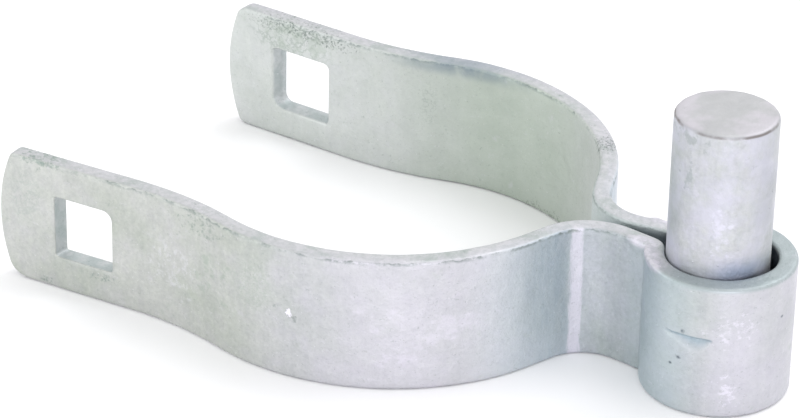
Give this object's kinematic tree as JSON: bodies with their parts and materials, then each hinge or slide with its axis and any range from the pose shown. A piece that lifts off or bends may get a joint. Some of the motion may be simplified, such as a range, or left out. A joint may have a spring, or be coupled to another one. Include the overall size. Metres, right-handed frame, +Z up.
{
  "type": "post strap hinge",
  "caption": "Galvanised steel strap bent round a gate post, with square bolt holes in its legs and a loose vertical hinge pin held in the eye at its front",
  "frame": {"origin": "on the pin's axis, level with the top face of the eye that it stands in", "axes": "+Z up the pin, +X from the post toward the pin, the two legs run to -X, one on each side of Y"},
  "size_m": [0.1227, 0.072, 0.046],
  "materials": {
    "galvanised_strap": "hot-dip galvanised, dull satin, no large spangle",
    "galvanised_pin": "hot-dip galvanised, dull satin with fine drawing marks"
  },
  "bodies": {
    "strap": {"strap": "galvanised_strap"},
    "pin": {"pin": "galvanised_pin"}
  },
  "joints": [
    {"name": "pin_turn", "type": "hinge", "parent": "strap", "child": "pin", "pos_m": [0, 0, 0], "axis": [0, 0, 1], "continuous": true}
  ]
}
